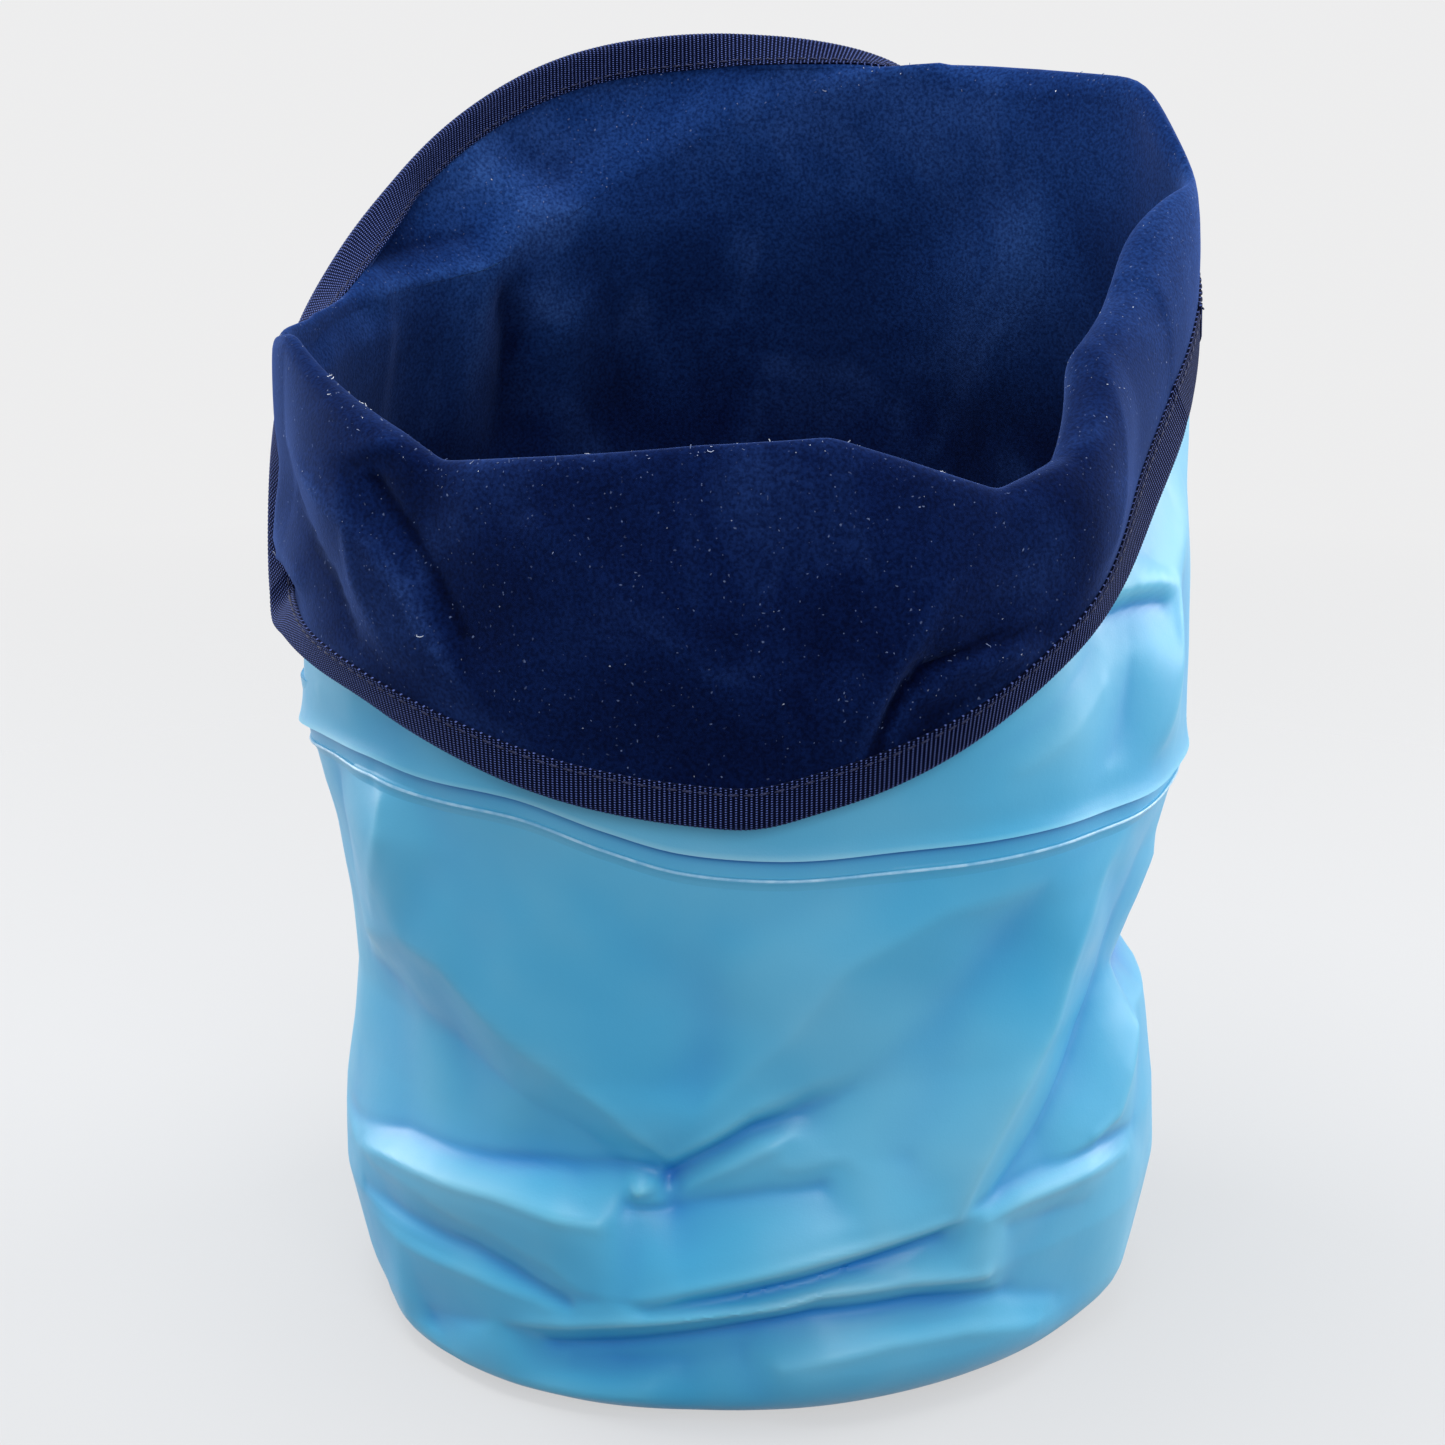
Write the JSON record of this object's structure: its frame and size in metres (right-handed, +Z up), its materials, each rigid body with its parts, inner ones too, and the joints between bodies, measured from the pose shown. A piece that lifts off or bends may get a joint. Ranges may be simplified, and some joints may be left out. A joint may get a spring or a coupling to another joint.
{
  "type": "folding soft water carrier",
  "caption": "Soft open-mouthed sack of coated cloth with a velour lining, a flat round base, a lap seam and a mouth turned out as a taped cuff; it collapses to carry or store water.",
  "frame": {"origin": "Middle of the flat base, on the floor.", "axes": "+Z is up along the sack's axis, -Y is the front with the lowest part of the turned-down rim, +X is to the right of a viewer who faces that front."},
  "size_m": [0.2227, 0.2113, 0.2861],
  "materials": {
    "coated_cloth": "satin coated cloth, sky blue",
    "velour": "flocked velour, navy",
    "tape": "ribbed woven tape, navy black",
    "thread": "twisted sewing thread, navy black"
  },
  "bodies": {
    "body": {"base_panel": "coated_cloth", "base_lining": "velour", "wall_panel": "coated_cloth", "wall_lining": "velour", "wall_back_seam": "coated_cloth"},
    "mouth": {"seam_band": "coated_cloth", "collar_panel": "coated_cloth", "collar_lining": "velour", "collar_back_seam": "coated_cloth", "cuff_panel": "coated_cloth", "cuff_lining": "velour"},
    "rim": {"rim_binding": "tape", "rim_stitching": "thread"}
  },
  "joints": [
    {"name": "mouth_collapse", "type": "slide", "parent": "body", "child": "mouth", "axis": [0, 0, -1], "range_m": [0, 0.09], "deforming": ["wall_panel", "wall_lining", "wall_back_seam"]},
    {"name": "rim_turn_up", "type": "hinge", "parent": "mouth", "child": "rim", "pos_m": [0, 0.09, 0.275], "axis": [-1, 0, 0], "range_deg": [0, 36], "deforming": ["cuff_panel", "cuff_lining"]}
  ]
}
